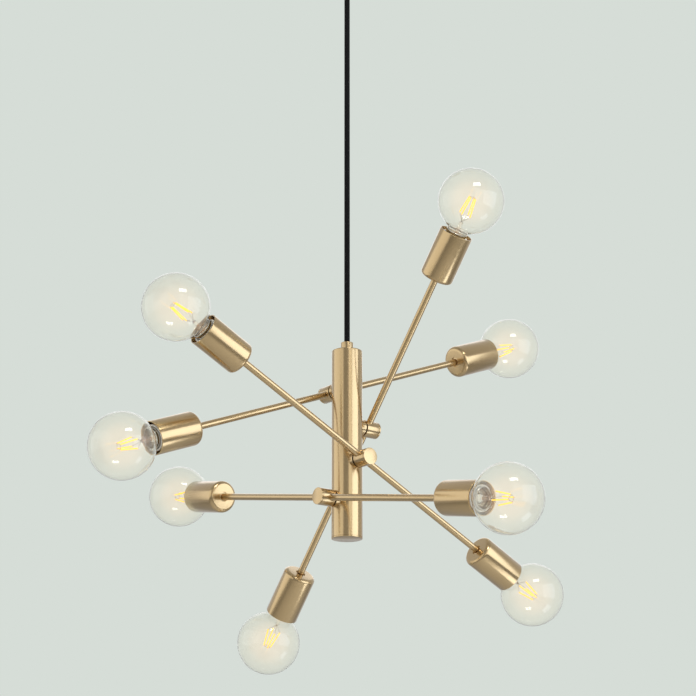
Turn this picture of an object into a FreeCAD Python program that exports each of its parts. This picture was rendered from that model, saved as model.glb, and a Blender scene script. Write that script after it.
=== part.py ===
import FreeCAD, Part
import math
import os

import Sketcher
from FreeCAD import Placement, Rotation, Vector

# Pendant chandelier with four through-arms and eight globe bulbs.
# Millimetres, +Z up. The origin is on the ceiling, in the middle of the mounting bracket.
# The fixture hangs from it: canopy, cord, vertical tube, four knuckles at right angles to
# one another, and on each knuckle one straight arm with a lamp cup and a bulb at both ends.

doc = FreeCAD.newDocument("Chandelier")

# ---------------------------------------------------------------- driving dimensions

SIZES = {
    # ceiling canopy and its bracket
    "canopy_diameter": 100.0,
    "canopy_height": 25.0,
    "canopy_wall": 1.2,
    "canopy_edge_radius": 7.0,
    "bracket_end_gap": 0.3,
    "bracket_width": 20.0,
    "bracket_thickness": 2.0,
    "bracket_ear_drop": 13.0,
    "slot_spacing": 60.0,
    "slot_width": 4.5,
    "slot_length": 14.0,
    "side_screw_diameter": 4.0,
    "side_screw_head_diameter": 7.5,
    "side_screw_head_height": 2.2,
    "side_screw_depth": 7.5,
    "side_screw_reach": 6.0,
    # cord and the grips that hold it
    "cord_diameter": 7.0,
    "cord_free_length": 480.0,
    "cord_clearance": 0.15,
    "grip_diameter": 14.0,
    "grip_height": 20.0,
    "grip_stem_diameter": 10.0,
    "grip_stem_length": 14.0,
    "grip_stem_clearance": 0.1,
    "grip_rounding": 1.5,
    "nipple_diameter": 15.4,
    "nipple_height": 11.0,
    "nipple_rounding": 1.0,
    "nut_width": 14.0,
    "nut_height": 4.0,
    "cord_stop_diameter": 12.0,
    "cord_stop_height": 6.0,
    # vertical tube
    "tube_diameter": 38.0,
    "tube_wall": 1.5,
    "tube_length": 237.5,
    "tube_cap_height": 3.0,
    "tube_cap_spigot": 6.0,
    "tube_cap_rounding": 1.2,
    "tube_foot_height": 1.6,
    "tube_foot_seam": 0.4,
    "spigot_clearance": 0.05,
    "connector_diameter": 9.0,
    "connector_length": 20.0,
    # knuckles
    "lowest_knuckle": 47.5,
    "knuckle_pitch": 47.5,
    "knuckle_diameter": 20.8,
    "knuckle_length": 18.8,
    "knuckle_chamfer": 0.4,
    "knuckle_cap_height": 2.0,
    "knuckle_cap_spigot": 3.0,
    "collar_reach": 3.8,
    "collar_seat": 0.05,
    "washer_diameter": 15.5,
    "washer_height": 1.8,
    "face_gap": 0.3,
    "pivot_diameter": 10.0,
    "pivot_bore": 6.5,
    "pivot_clearance": 0.08,
    "pivot_engagement": 3.6,
    "pivot_head_width": 14.0,
    "pivot_head_height": 4.0,
    "pad_diameter": 18.0,
    "pad_depth": 4.0,
    "spring_height": 0.8,
    # arms
    "rod_diameter": 8.5,
    "rod_wall": 1.2,
    "rod_setback": 6.1,
    "rod_root": 5.3,
    "thread_clearance": 0.02,
    "arm_1_reach": 282.5,
    "arm_2_reach": 271.5,
    "arm_3_reach": 266.0,
    "arm_4_reach": 282.5,
    # directions in degrees
    "top_knuckle_azimuth": 128.5,
    "knuckle_turn": -90.0,
    "arm_1_tilt": -20.6,
    "arm_2_tilt": -50.4,
    "arm_3_tilt": -26.4,
    "arm_4_tilt": -10.0,
    # lamp cups
    "cup_diameter": 41.0,
    "cup_length": 62.0,
    "cup_wall": 1.2,
    "cup_back_radius": 5.0,
    "cup_hole_diameter": 12.8,
    "bushing_diameter": 12.0,
    "bushing_flange_diameter": 20.0,
    "bushing_flange_height": 3.0,
    "bushing_recess": 0.3,
    "rod_overrun": 7.0,
    # lampholders
    "holder_diameter": 32.0,
    "holder_base_diameter": 24.0,
    "holder_base_length": 12.0,
    "holder_recess": 2.5,
    "holder_lead_hole": 9.5,
    "shell_setback": 2.5,
    "shell_wall": 0.4,
    "shell_length": 19.0,
    "shell_clearance": 0.05,
    "cap_clearance": 0.15,
    # bulbs
    "globe_diameter": 80.0,
    "globe_stand_off": 43.0,
    "globe_neck_fillet": 3.0,
    "glass_wall": 0.9,
    "glass_ledge": 0.8,
    "neck_diameter": 24.4,
    "neck_seat": 8.0,
    "neck_clearance": 0.05,
    "lamp_cap_diameter": 26.2,
    "lamp_cap_length": 27.0,
    "lamp_cap_button_diameter": 9.0,
    "lamp_cap_button_height": 1.2,
    "lamp_cap_taper_diameter": 17.0,
    "lamp_cap_taper_height": 3.5,
    "stem_diameter": 5.0,
    "stem_flare_height": 7.0,
    "stem_height": 21.0,
    "glass_floor": 1.5,
    # filament cage inside a bulb
    "filament_diameter": 1.8,
    "filament_foot_radius": 8.0,
    "filament_tip_radius": 4.5,
    "filament_foot_drop": 18.3,
    "filament_tip_rise": 4.8,
    "lead_diameter": 0.7,
    "lead_hub_diameter": 3.0,
    "lead_hub_height": 1.0,
}

ARMS = (1, 2, 3, 4)
FILAMENTS = 4

sheet = doc.addObject("Spreadsheet::Sheet", "Sizes")
for row, (alias, value) in enumerate(SIZES.items(), start=1):
    sheet.set("A%d" % row, alias)
    sheet.set("B%d" % row, str(value))
    sheet.setAlias("B%d" % row, alias)
doc.recompute()


class Size:
    """A size that carries the sheet formula it comes from, so that one line gives both."""

    def __init__(self, value, formula):
        self.value = value
        self.formula = formula

    def combined(self, other, sign, value):
        text = other.formula if isinstance(other, Size) else repr(float(other))
        return Size(value, "(%s %s %s)" % (self.formula, sign, text))

    def __add__(self, other):
        return self.combined(other, "+", self.value + float(other))

    def __sub__(self, other):
        return self.combined(other, "-", self.value - float(other))

    def __mul__(self, other):
        return self.combined(other, "*", self.value * float(other))

    def __truediv__(self, other):
        return self.combined(other, "/", self.value / float(other))

    def __neg__(self):
        return Size(-self.value, "(0 - %s)" % self.formula)

    def __float__(self):
        return float(self.value)

    def root(self):
        return Size(math.sqrt(self.value), "sqrt(%s)" % self.formula)


ZERO = Size(0.0, "0")


def size(alias):
    return Size(float(sheet.get(alias)), "Sizes." + alias)


def radius_of(alias):
    return size(alias) / 2


# ---------------------------------------------------------------- ways of making a piece


def bind(thing, **sizes):
    """Tie properties of a document object to the sheet."""
    for name, amount in sizes.items():
        thing.setExpression(name, amount.formula)
    return thing


def at(x=ZERO, y=ZERO, z=ZERO):
    return Vector(float(x), float(y), float(z))


def place(thing, x=ZERO, y=ZERO, z=ZERO, turn=None):
    thing.Placement = Placement(at(x, y, z), turn or Rotation())
    for axis, amount in (("x", x), ("y", y), ("z", z)):
        if amount is not ZERO:
            thing.setExpression("Placement.Base." + axis, amount.formula)
    return thing


def cylinder(name, radius, height, **where):
    thing = doc.addObject("Part::Cylinder", name)
    bind(thing, Radius=radius, Height=height)
    return place(thing, **where)


def box(name, length, width, height, **where):
    thing = doc.addObject("Part::Box", name)
    bind(thing, Length=length, Width=width, Height=height)
    return place(thing, **where)


def hexagon(name, across_flats, height, **where):
    """A six-sided prism, given its width across the flats."""
    thing = doc.addObject("Part::Prism", name)
    thing.Polygon = 6
    bind(thing, Circumradius=across_flats / math.sqrt(3.0), Height=height)
    return place(thing, **where)


def joined(name, pieces):
    thing = doc.addObject("Part::MultiFuse", name)
    thing.Shapes = list(pieces)
    return thing


def cut(name, base, *tools):
    thing = doc.addObject("Part::Cut", name)
    thing.Base = base
    thing.Tool = tools[0] if len(tools) == 1 else joined(name + "_tools", tools)
    return thing


def turned(name, outline, arcs=None):
    """A piece turned on a lathe about +Z. outline gives its half section as (radius, height)
    corners. arcs maps a corner's number to (radius, bulge) of the arc that leaves that corner:
    bulge is 1 where the arc's centre lies to its left, and -1 where it lies to its right."""
    arcs = arcs or {}
    body = doc.addObject("PartDesign::Body", name)
    plane = next(item for item in body.Origin.OriginFeatures if item.Role == "XZ_Plane")
    sketch = body.newObject("Sketcher::SketchObject", name + "_section")
    sketch.AttachmentSupport = [(plane, "")]
    sketch.MapMode = "FlatFace"
    corners = [Vector(float(across), float(up), 0) for across, up in outline]
    count = len(corners)
    starts = []
    ends = []
    for number in range(count):
        start = corners[number]
        end = corners[(number + 1) % count]
        if number in arcs:
            radius, bulge = arcs[number]
            chord = end - start
            half = chord.Length / 2
            left = Vector(-chord.y, chord.x, 0).normalize()
            rise = math.sqrt(max(float(radius) ** 2 - half**2, 0.0))
            centre = (start + end) * 0.5 + left * (bulge * rise)
            first, last = (start, end) if bulge > 0 else (end, start)
            circle = Part.Circle(centre, Vector(0, 0, 1), float(radius))
            sweep = Part.ArcOfCircle(circle, circle.parameter(first), circle.parameter(last))
            sketch.addGeometry(sweep, False)
            starts.append(1 if bulge > 0 else 2)
            ends.append(2 if bulge > 0 else 1)
        else:
            sketch.addGeometry(Part.LineSegment(start, end), False)
            starts.append(1)
            ends.append(2)
    for number in range(count):
        following = (number + 1) % count
        joint = Sketcher.Constraint("Coincident", number, ends[number], following, starts[following])
        sketch.addConstraint(joint)
    for number, (across, up) in enumerate(outline):
        for kind, amount, axis in (("DistanceX", across, -2), ("DistanceY", up, -1)):
            if float(amount) == 0.0:
                on_axis = Sketcher.Constraint("PointOnObject", number, starts[number], axis)
                sketch.addConstraint(on_axis)
            else:
                apart = Sketcher.Constraint(kind, -1, 1, number, starts[number], float(amount))
                index = sketch.addConstraint(apart)
                sketch.setExpression("Constraints[%d]" % index, amount.formula)
    for number, (radius, bulge) in arcs.items():
        index = sketch.addConstraint(Sketcher.Constraint("Radius", number, float(radius)))
        sketch.setExpression("Constraints[%d]" % index, radius.formula)
    revolution = body.newObject("PartDesign::Revolution", name + "_turning")
    revolution.Profile = sketch
    revolution.ReferenceAxis = (sketch, ["V_Axis"])
    revolution.Angle = 360.0
    doc.recompute()
    return body


def spun_cup(name, radius, height, wall, edge, hole):
    """A spun metal cup with a rounded back edge and a hole in the middle of its back."""
    return turned(
        name,
        [
            (hole, ZERO),
            (radius - edge, ZERO),
            (radius, edge),
            (radius, height),
            (radius - wall, height),
            (radius - wall, edge),
            (radius - edge, wall),
            (hole, wall),
        ],
        {1: (edge, 1), 5: (edge - wall, -1)},
    )


def rim_name(feature, radius, height):
    """The name of the full circle of that radius at that height."""
    for number, edge in enumerate(feature.Shape.Edges, start=1):
        curve = edge.Curve
        if isinstance(curve, Part.Circle):
            same_size = abs(curve.Radius - float(radius)) < 1e-4
            same_height = abs(curve.Center.z - float(height)) < 1e-4
            if same_size and same_height:
                return "Edge%d" % number
    raise ValueError("no rim of radius %s at height %s" % (float(radius), float(height)))


def dressed(body, kind, amount, rims):
    """Round (Fillet) or bevel (Chamfer) rims of a turned body."""
    base = body.Tip
    edge = body.newObject("PartDesign::" + kind, body.Name + "_" + kind.lower())
    edge.Base = (base, [rim_name(base, radius, height) for radius, height in rims])
    edge.setExpression("Radius" if kind == "Fillet" else "Size", amount.formula)
    doc.recompute()
    return body


def copy_of(master, name, placement):
    link = doc.addObject("App::Link", name)
    link.LinkedObject = master
    link.LinkPlacement = placement
    return link


NODES = []


def node(name, master, placements=None):
    """One named piece where it was made, or one copy of it in each of the placements."""
    group = doc.addObject("Part::Compound", "node_" + name)
    if placements is None:
        group.Links = [master]
    else:
        group.Links = [
            copy_of(master, "%s_copy_%d" % (name, number), placement)
            for number, placement in enumerate(placements, start=1)
        ]
    group.Label = name
    NODES.append(group)
    return group


# ---------------------------------------------------------------- heights below the ceiling

canopy_foot = -size("canopy_height")
grip_foot = canopy_foot - size("grip_height")
nipple_top = grip_foot - size("cord_free_length")
tube_top = nipple_top - size("nipple_height")
tube_bottom = tube_top - size("tube_length")
lowest_knuckle = tube_bottom + size("lowest_knuckle")

# ---------------------------------------------------------------- ceiling canopy

canopy_radius = radius_of("canopy_diameter")
canopy_wall = size("canopy_wall")
stem_hole = radius_of("grip_stem_diameter") + size("grip_stem_clearance")
canopy_cup = spun_cup(
    "canopy_cup",
    canopy_radius,
    size("canopy_height"),
    canopy_wall,
    size("canopy_edge_radius"),
    stem_hole,
)
place(canopy_cup, z=canopy_foot)

ACROSS = Rotation(Vector(0, 1, 0), 90)
side_screw_height = -size("side_screw_depth")
shank_radius = radius_of("side_screw_diameter")
screw_hole_radius = shank_radius + size("grip_stem_clearance")
canopy_screw_hole = cylinder(
    "canopy_screw_hole",
    screw_hole_radius,
    size("canopy_diameter") * 1.2,
    x=-(size("canopy_diameter") * 0.6),
    z=side_screw_height,
    turn=ACROSS,
)
canopy = cut("canopy", canopy_cup, canopy_screw_hole)
node("ceiling_canopy", canopy)

# ---------------------------------------------------------------- mounting bracket

bracket_reach = canopy_radius - canopy_wall - size("bracket_end_gap")
half_width = size("bracket_width") / 2
half_bracket = (bracket_reach * bracket_reach - half_width * half_width).root()
plate = size("bracket_thickness")
bracket_bar = box(
    "bracket_bar",
    half_bracket * 2,
    size("bracket_width"),
    plate,
    x=-half_bracket,
    y=-half_width,
    z=-plate,
)
bracket_ears = [
    box(
        "bracket_ear_" + side,
        plate,
        size("bracket_width"),
        size("bracket_ear_drop"),
        x=where,
        y=-half_width,
        z=-size("bracket_ear_drop"),
    )
    for side, where in (("left", -half_bracket), ("right", half_bracket - plate))
]
bracket_blank = joined("bracket_blank", [bracket_bar] + bracket_ears)

slot_radius = size("slot_width") / 2
slot_straight = size("slot_length") - size("slot_width")
bracket_cuts = []
for side, sign in (("left", -1.0), ("right", 1.0)):
    middle = size("slot_spacing") * (sign / 2)
    slot_start = middle - slot_straight / 2
    slot_end = middle + slot_straight / 2
    bracket_cuts.append(
        box(
            "slot_middle_" + side,
            slot_straight,
            size("slot_width"),
            plate * 3,
            x=slot_start,
            y=-slot_radius,
            z=-(plate * 2),
        )
    )
    for end, where in (("inner", slot_start), ("outer", slot_end)):
        name = "slot_%s_%s" % (end, side)
        bracket_cuts.append(cylinder(name, slot_radius, plate * 3, x=where, z=-(plate * 2)))
bracket_cuts.append(
    cylinder(
        "ear_screw_hole",
        shank_radius + size("thread_clearance"),
        half_bracket * 2.4,
        x=-(half_bracket * 1.2),
        z=side_screw_height,
        turn=ACROSS,
    )
)
node("mounting_bracket", cut("bracket", bracket_blank, *bracket_cuts))

# ---------------------------------------------------------------- side screws of the canopy

screw_head_radius = radius_of("side_screw_head_diameter")
screw_head_height = size("side_screw_head_height")
screw_shank = canopy_radius - half_bracket + size("side_screw_reach")
side_screw = turned(
    "side_screw",
    [
        (ZERO, ZERO),
        (shank_radius, ZERO),
        (shank_radius, screw_shank),
        (screw_head_radius, screw_shank),
        (screw_head_radius, screw_shank + screw_head_height),
        (ZERO, screw_shank + screw_head_height),
    ],
)
dressed(
    side_screw,
    "Fillet",
    screw_head_height * 0.6,
    [(screw_head_radius, screw_shank + screw_head_height)],
)
screw_start = float(canopy_radius - screw_shank)
screw_places = []
for heading in (0, 180):
    spun = Placement(Vector(), Rotation(Vector(0, 0, 1), heading))
    pushed = Placement(Vector(screw_start, 0, float(side_screw_height)), ACROSS)
    screw_places.append(spun.multiply(pushed))
node("canopy_screws", side_screw, screw_places)

# ---------------------------------------------------------------- cord grips, nuts and cord

cord_radius = radius_of("cord_diameter")
cord_hole = cord_radius + size("cord_clearance")
stem_radius = radius_of("grip_stem_diameter")
stem_length = size("grip_stem_length")


def cord_grip(name, radius, height, rounding, wide_end):
    """A turned brass grip with a threaded stem above it (wide_end low) or below it (high)."""
    full = height + stem_length
    shoulder = height if wide_end == "low" else stem_length
    lower = radius if wide_end == "low" else stem_radius
    upper = stem_radius if wide_end == "low" else radius
    grip = turned(
        name,
        [
            (cord_hole, ZERO),
            (lower, ZERO),
            (lower, shoulder),
            (upper, shoulder),
            (upper, full),
            (cord_hole, full),
        ],
    )
    rim_height = ZERO if wide_end == "low" else full
    return dressed(grip, "Fillet", rounding, [(radius, rim_height)])


canopy_grip = cord_grip(
    "canopy_grip_turning",
    radius_of("grip_diameter"),
    size("grip_height"),
    size("grip_rounding"),
    "low",
)
place(canopy_grip, z=grip_foot)
node("canopy_grip", canopy_grip)

tube_nipple = cord_grip(
    "tube_nipple_turning",
    radius_of("nipple_diameter"),
    size("nipple_height"),
    size("nipple_rounding"),
    "high",
)
place(tube_nipple, z=tube_top - stem_length)
node("tube_nipple", tube_nipple)

nut_hole = stem_radius + size("thread_clearance")
nut_height = size("nut_height")
nut_blank = hexagon("nut_blank", size("nut_width"), nut_height)
grip_nut = cut("grip_nut", nut_blank, cylinder("nut_hole", nut_hole, nut_height))
canopy_nut_height = canopy_foot + canopy_wall
tube_cap_height = size("tube_cap_height")
tube_cap_spigot = size("tube_cap_spigot")
tube_nut_height = tube_top - tube_cap_height - tube_cap_spigot - nut_height
nut_places = [Placement(at(z=height), Rotation()) for height in (canopy_nut_height, tube_nut_height)]
node("grip_nuts", grip_nut, nut_places)

stop_height = size("cord_stop_height")
cord_top = grip_foot + size("grip_height") + stem_length + stop_height
cord_bottom = tube_top - stem_length - stop_height
cord = cylinder("cord_tube", cord_radius, cord_top - cord_bottom, z=cord_bottom)
node("cord", cord)
cord_section = math.pi * float(cord_radius) ** 2
cord_length = float(cord_top - cord_bottom)

stop_hole = cord_radius + size("thread_clearance")
stop_radius = radius_of("cord_stop_diameter")
cord_stop = turned(
    "cord_stop_ring",
    [
        (stop_hole, ZERO),
        (stop_radius, ZERO),
        (stop_radius, stop_height),
        (stop_hole, stop_height),
    ],
)
stop_places = [Placement(at(z=height), Rotation()) for height in (cord_bottom, cord_top - stop_height)]
node("cord_stops", cord_stop, stop_places)

# ---------------------------------------------------------------- vertical tube and its ends

tube_radius = radius_of("tube_diameter")
bore_radius = tube_radius - size("tube_wall")
spigot_radius = bore_radius - size("spigot_clearance")
foot_height = size("tube_foot_height")
foot_seam = size("tube_foot_seam")
shell_bottom = tube_bottom + foot_height + foot_seam
shell_top = tube_top - tube_cap_height
shell_length = shell_top - shell_bottom

pivot_radius = radius_of("pivot_diameter")
pivot_hole = pivot_radius + size("pivot_clearance")


def knuckle_height(arm):
    return lowest_knuckle + size("knuckle_pitch") * float(len(ARMS) - arm)


def knuckle_azimuth(arm):
    return float(size("top_knuckle_azimuth")) + float(size("knuckle_turn")) * (arm - 1)


def knuckle_frame(arm, tilt=0.0):
    """The frame of one knuckle: its X runs out of the tube and its Y along the arm."""
    heading = Rotation(Vector(0, 0, 1), knuckle_azimuth(arm))
    leaning = Rotation(Vector(1, 0, 0), tilt)
    return Placement(at(z=knuckle_height(arm)), heading.multiply(leaning))


OUTWARD = Placement(Vector(), ACROSS)
tube_skin = cylinder("tube_skin", tube_radius, shell_length, z=shell_bottom)
tube_bore = cylinder("tube_bore", bore_radius, shell_length, z=shell_bottom)
tube_tools = [tube_bore]
for arm in ARMS:
    hole = cylinder("pivot_hole_%d" % arm, pivot_hole, tube_radius * 1.5)
    hole.Placement = knuckle_frame(arm).multiply(OUTWARD)
    tube_tools.append(hole)
node("stem_tube", cut("stem_tube_drilled", tube_skin, *tube_tools))

top_cap = turned(
    "top_cap_turning",
    [
        (nut_hole, ZERO),
        (spigot_radius, ZERO),
        (spigot_radius, tube_cap_spigot),
        (tube_radius, tube_cap_spigot),
        (tube_radius, tube_cap_spigot + tube_cap_height),
        (nut_hole, tube_cap_spigot + tube_cap_height),
    ],
)
dressed(
    top_cap,
    "Fillet",
    size("tube_cap_rounding"),
    [(tube_radius, tube_cap_spigot + tube_cap_height)],
)
place(top_cap, z=shell_top - tube_cap_spigot)
node("tube_top_cap", top_cap)

foot_neck = foot_height + foot_seam
seam_radius = tube_radius - size("tube_wall") / 2
foot_cap = turned(
    "foot_cap_turning",
    [
        (ZERO, ZERO),
        (tube_radius, ZERO),
        (tube_radius, foot_height),
        (seam_radius, foot_height),
        (seam_radius, foot_neck),
        (spigot_radius, foot_neck),
        (spigot_radius, foot_neck + tube_cap_spigot),
        (ZERO, foot_neck + tube_cap_spigot),
    ],
)
dressed(foot_cap, "Chamfer", foot_seam, [(tube_radius, ZERO)])
place(foot_cap, z=tube_bottom)
node("tube_foot_cap", foot_cap)

# Two crimped connectors join the cord to the lamp leads, beside the tube's wall between
# the two upper knuckles.
connector_length = size("connector_length")
connector_radius = radius_of("connector_diameter")
connector = cylinder("connector", connector_radius, connector_length)
connector_offset = bore_radius - connector_radius - size("face_gap")
connector_height = knuckle_height(1) - size("knuckle_pitch") / 2 - connector_length / 2
connector_places = []
for arm in (3, 4):
    heading = Rotation(Vector(0, 0, 1), knuckle_azimuth(arm))
    turned_bay = Placement(at(z=connector_height), heading)
    connector_places.append(turned_bay.multiply(Placement(at(x=connector_offset), Rotation())))
node("wire_connectors", connector, connector_places)

# ---------------------------------------------------------------- knuckles, made along +Z

knuckle_radius = radius_of("knuckle_diameter")
collar_face = tube_radius + size("collar_reach")
collar_start = tube_radius / 2
UPRIGHT_PLACES = [knuckle_frame(arm).multiply(OUTWARD) for arm in ARMS]


def lying_tube(name, radius):
    """The vertical tube as a knuckle sees it: a cylinder across the knuckle's own axis."""
    length = size("tube_length")
    return cylinder(name, radius, length, x=-(length / 2), turn=ACROSS)


collar_blank = cylinder("collar_blank", knuckle_radius, collar_face - collar_start, z=collar_start)
collar_seat = lying_tube("collar_seat", tube_radius + size("collar_seat"))
collar_bore = cylinder("collar_bore", pivot_hole, collar_face)
collar = cut("collar", collar_blank, collar_seat, collar_bore)
node("saddle_collars", collar, UPRIGHT_PLACES)

washer_radius = radius_of("washer_diameter")
washer_hole = pivot_radius + size("face_gap")
washer_face = collar_face + size("washer_height")


def ring(name, outer, inner, low, high):
    return turned(name, [(inner, low), (outer, low), (outer, high), (inner, high)])


friction_washer = ring("friction_washer", washer_radius, washer_hole, collar_face, washer_face)
node("friction_washers", friction_washer, UPRIGHT_PLACES)

pad_face = bore_radius - size("pad_depth")
pad_blank = cylinder("pad_blank", radius_of("pad_diameter"), tube_radius - pad_face, z=pad_face)
pad_round = lying_tube("pad_round", bore_radius - size("collar_seat"))
pad_curved = doc.addObject("Part::Common", "pad_curved")
pad_curved.Base = pad_blank
pad_curved.Tool = pad_round
pad = cut("pad", pad_curved, cylinder("pad_bore", pivot_hole, tube_radius))
node("pivot_pads", pad, UPRIGHT_PLACES)

spring_face = pad_face - size("spring_height")
spring_washer = ring("spring_washer", washer_radius, washer_hole, spring_face, pad_face)
node("spring_washers", spring_washer, UPRIGHT_PLACES)

# The hollow bolt comes from inside the tube and screws into the knuckle, and turns with it.
bolt_face = spring_face - size("face_gap")
bolt_head_height = size("pivot_head_height")
knuckle_face = washer_face + size("face_gap")
bolt_tip = knuckle_face + size("pivot_engagement")
bolt_start = bolt_face - bolt_head_height
bolt_head = hexagon("bolt_head", size("pivot_head_width"), bolt_head_height, z=bolt_start)
bolt_shank = cylinder("bolt_shank", pivot_radius, bolt_tip - bolt_face, z=bolt_face)
bolt_bore = cylinder("bolt_bore", radius_of("pivot_bore"), bolt_tip)
pivot_bolt = cut("pivot_bolt", joined("bolt_blank", [bolt_head, bolt_shank]), bolt_bore)

thread_clearance = size("thread_clearance")
knuckle_end = knuckle_face + size("knuckle_length")
knuckle_bore = pivot_radius + thread_clearance
rod_radius = radius_of("rod_diameter")
rod_offset = knuckle_face + size("rod_setback")
knuckle_barrel = ring("knuckle_barrel", knuckle_radius, knuckle_bore, knuckle_face, knuckle_end)
knuckle_rims = [(knuckle_radius, knuckle_face), (knuckle_radius, knuckle_end)]
dressed(knuckle_barrel, "Chamfer", size("knuckle_chamfer"), knuckle_rims)
rod_hole = cylinder(
    "rod_hole",
    rod_radius + thread_clearance,
    size("knuckle_diameter") * 1.5,
    y=size("knuckle_diameter") * 0.75,
    z=rod_offset,
    turn=Rotation(Vector(1, 0, 0), 90),
)
knuckle = cut("knuckle", knuckle_barrel, rod_hole)

cap_end = knuckle_end + size("knuckle_cap_height")
cap_spigot_start = knuckle_end - size("knuckle_cap_spigot")
knuckle_cap = turned(
    "knuckle_cap",
    [
        (ZERO, cap_spigot_start),
        (pivot_radius, cap_spigot_start),
        (pivot_radius, knuckle_end),
        (knuckle_radius, knuckle_end),
        (knuckle_radius, cap_end),
        (ZERO, cap_end),
    ],
)
cap_rims = [(knuckle_radius, knuckle_end), (knuckle_radius, cap_end)]
dressed(knuckle_cap, "Chamfer", size("knuckle_chamfer"), cap_rims)

# ---------------------------------------------------------------- lamp cup and what it holds
# Everything at an arm's end is turned about +Z, from the cup's back face at height 0.

cup_radius = radius_of("cup_diameter")
cup_length = size("cup_length")
cup_wall = size("cup_wall")


cup_hole = radius_of("cup_hole_diameter")
cup_back_radius = size("cup_back_radius")
lamp_cup = spun_cup("lamp_cup", cup_radius, cup_length, cup_wall, cup_back_radius, cup_hole)

bushing_bore = rod_radius + thread_clearance
bushing_top = cup_wall + size("bushing_flange_height")
bushing_radius = radius_of("bushing_diameter")
flange_radius = radius_of("bushing_flange_diameter")
bushing = turned(
    "bushing",
    [
        (bushing_bore, size("bushing_recess")),
        (bushing_radius, size("bushing_recess")),
        (bushing_radius, cup_wall),
        (flange_radius, cup_wall),
        (flange_radius, bushing_top),
        (bushing_bore, bushing_top),
    ],
)

# The globe's place decides how deep its cap sits in the lampholder.
globe_radius = radius_of("globe_diameter")
globe_centre = cup_length + size("globe_stand_off")
neck_radius = radius_of("neck_diameter")
fillet = size("globe_neck_fillet")
fillet_out = neck_radius + fillet
fillet_reach = globe_radius + fillet
fillet_drop = (fillet_reach * fillet_reach - fillet_out * fillet_out).root()
fillet_height = globe_centre - fillet_drop
lamp_cap_radius = radius_of("lamp_cap_diameter")
lamp_cap_top = fillet_height - size("glass_ledge")
lamp_cap_bottom = lamp_cap_top - size("lamp_cap_length")
seat_floor = lamp_cap_top - size("neck_seat")

shell_radius = lamp_cap_radius + size("cap_clearance")
shell_outer = shell_radius + size("shell_wall")
cavity_radius = shell_outer + size("shell_clearance")
cavity_floor = lamp_cap_bottom - size("face_gap")
holder_radius = radius_of("holder_diameter")
holder_base = radius_of("holder_base_diameter")
holder_step = bushing_top + size("holder_base_length")
holder_rim = cup_length - size("holder_recess")
lead_hole = radius_of("holder_lead_hole")
lampholder = turned(
    "lampholder",
    [
        (lead_hole, bushing_top),
        (holder_base, bushing_top),
        (holder_base, holder_step),
        (holder_radius, holder_step + (holder_radius - holder_base)),
        (holder_radius, holder_rim),
        (cavity_radius, holder_rim),
        (cavity_radius, cavity_floor),
        (lead_hole, cavity_floor),
    ],
)
shell_end = holder_rim - size("shell_setback")
shell_start = shell_end - size("shell_length")
screw_shell = ring("screw_shell", shell_outer, shell_radius, shell_start, shell_end)

button_radius = radius_of("lamp_cap_button_diameter")
button_top = lamp_cap_bottom + size("lamp_cap_button_height")
taper_radius = radius_of("lamp_cap_taper_diameter")
taper_top = button_top + size("lamp_cap_taper_height")
seat_radius = neck_radius + size("neck_clearance")
lamp_cap = turned(
    "lamp_cap",
    [
        (ZERO, lamp_cap_bottom),
        (button_radius, lamp_cap_bottom),
        (button_radius, button_top),
        (taper_radius, button_top),
        (lamp_cap_radius, taper_top),
        (lamp_cap_radius, lamp_cap_top),
        (seat_radius, lamp_cap_top),
        (seat_radius, seat_floor),
        (ZERO, seat_floor),
    ],
)

# Blown globe, drawn in to its neck, with the glass stem fused across the neck's end.
glass_wall = size("glass_wall")
inner_globe = globe_radius - glass_wall
inner_neck = neck_radius - glass_wall
neck_end = seat_floor + size("neck_clearance")
glass_floor = neck_end + size("glass_floor")
stem_radius_glass = radius_of("stem_diameter")
stem_top = neck_end + size("stem_height")
blend_out = fillet_out / fillet_reach
blend_down = fillet_drop / fillet_reach
bulb_glass = turned(
    "bulb_glass",
    [
        (ZERO, globe_centre + globe_radius),
        (globe_radius * blend_out, globe_centre - globe_radius * blend_down),
        (neck_radius, fillet_height),
        (neck_radius, neck_end),
        (ZERO, neck_end),
        (ZERO, stem_top),
        (stem_radius_glass, stem_top),
        (stem_radius_glass, neck_end + size("stem_flare_height")),
        (inner_neck, glass_floor),
        (inner_neck, fillet_height),
        (inner_globe * blend_out, globe_centre - inner_globe * blend_down),
        (ZERO, globe_centre + inner_globe),
    ],
    {
        0: (globe_radius, -1),
        1: (fillet, 1),
        9: (fillet + glass_wall, -1),
        10: (inner_globe, 1),
    },
)

# Filament sticks stand in a cone on the stem: wide at the foot and drawn in at the tip.
lead_radius = radius_of("lead_diameter")
filament_radius = radius_of("filament_diameter")
foot_height_in_globe = globe_centre - size("filament_foot_drop")
tip_height_in_globe = globe_centre + size("filament_tip_rise")


def strut(name, start, end, radius, sides):
    """A thin straight bar from one point to another."""
    bar = doc.addObject("Part::Prism", name)
    bar.Polygon = sides
    bar.setExpression("Circumradius", radius.formula)
    span = end - start
    bar.Height = span.Length
    bar.Placement = Placement(start, Rotation(Vector(0, 0, 1), span))
    return bar


def around(radius, number, height):
    angle = 2 * math.pi * number / FILAMENTS
    return Vector(float(radius) * math.cos(angle), float(radius) * math.sin(angle), float(height))


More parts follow.
